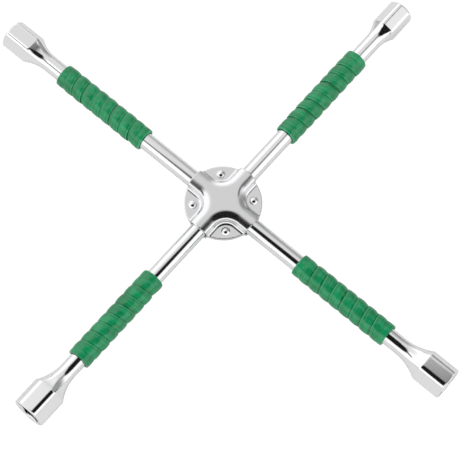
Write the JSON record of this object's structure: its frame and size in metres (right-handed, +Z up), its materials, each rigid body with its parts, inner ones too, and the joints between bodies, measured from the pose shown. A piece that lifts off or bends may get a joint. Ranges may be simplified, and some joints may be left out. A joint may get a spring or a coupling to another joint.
{
  "type": "lug wrench",
  "caption": "Cross-shaped lug wrench with a hex socket on each arm, riveted hub plates over the crossing and wound soft grips, for turning wheel nuts.",
  "frame": {"origin": "where the two bars' axes cross, at the middle of the hub", "axes": "+X along the arm with the 21 mm socket, +Y along the arm with the 17 mm socket, +Z up, square to the plane of the bars"},
  "size_m": [0.508, 0.508, 0.03],
  "materials": {
    "forged_chrome": "bright polished chrome plate over forged steel",
    "stamped_chrome": "bright chrome plate over stamped sheet, faintly orange-peeled on the flange",
    "rivet_chrome": "bright chrome plate, rounded by the rivet set",
    "weld_steel": "plain weld metal, hidden under the plates",
    "grip_tape": "soft green vinyl tape with a faint sheen and fine stretch lines",
    "grip_underlay": "thin soft rubber underlay, hidden under the tape"
  },
  "bodies": {
    "root": {"bar_19_21": "forged_chrome", "bar_17_23": "forged_chrome", "upper_hub_plate": "stamped_chrome", "lower_hub_plate": "stamped_chrome", "hub_rivet_1": "rivet_chrome", "weld_bead_1": "weld_steel", "hub_rivet_2": "rivet_chrome", "weld_bead_2": "weld_steel", "hub_rivet_3": "rivet_chrome", "weld_bead_3": "weld_steel", "hub_rivet_4": "rivet_chrome", "weld_bead_4": "weld_steel", "grip_sleeve_21": "grip_underlay", "grip_wrap_21": "grip_tape", "grip_sleeve_17": "grip_underlay", "grip_wrap_17": "grip_tape", "grip_sleeve_19": "grip_underlay", "grip_wrap_19": "grip_tape", "grip_sleeve_23": "grip_underlay", "grip_wrap_23": "grip_tape"}
  },
  "joints": []
}
